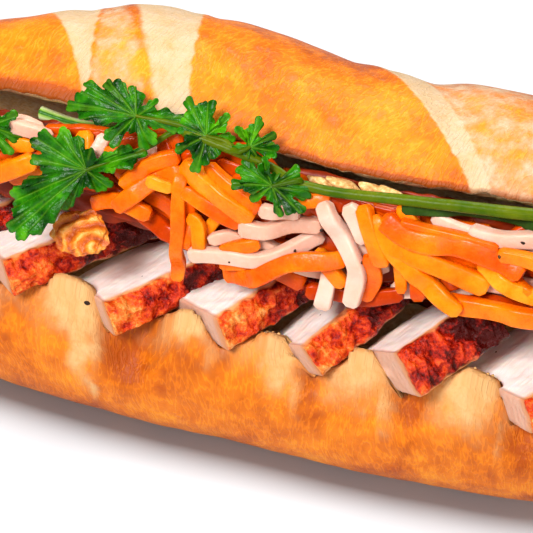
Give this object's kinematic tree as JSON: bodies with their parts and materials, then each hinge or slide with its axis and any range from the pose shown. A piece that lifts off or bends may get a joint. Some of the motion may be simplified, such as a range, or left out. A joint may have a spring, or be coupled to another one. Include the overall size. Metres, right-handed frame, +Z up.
{
  "type": "roast pork baguette sandwich",
  "caption": "Split crusty roll propped open at the front by shingled roast pork with crackling, pickled vegetable shreds, cucumber and coriander.",
  "frame": {"origin": "middle of the flat underside that the roll rests on", "axes": "+X along the roll, -Y towards the open front where the filling shows, +Z up"},
  "size_m": [0.22, 0.0841, 0.0973],
  "materials": {
    "crust": "golden baked crust, streaked and slightly shiny, pale where it was slashed",
    "pork": "pale cut meat with a red-brown blistered rind along one side",
    "pickles": "wet orange carrot and translucent white radish shreds",
    "cucumber": "wet pale green flesh with a dark green skin edge",
    "coriander": "fresh green leaves and a pale green stalk",
    "crackling": "crisp golden fried rind"
  },
  "bodies": {
    "root": {"bread": "crust", "pork_slice_1": "pork", "pork_slice_2": "pork", "pork_slice_3": "pork", "pork_slice_4": "pork", "pork_slice_5": "pork", "pork_slice_6": "pork", "pork_slice_7": "pork", "pork_slice_8": "pork", "pickled_vegetables": "pickles", "cucumber_slice_1": "cucumber", "cucumber_slice_2": "cucumber", "coriander_sprig": "coriander", "coriander_end_sprig": "coriander", "crackling_flake": "crackling"}
  },
  "joints": []
}
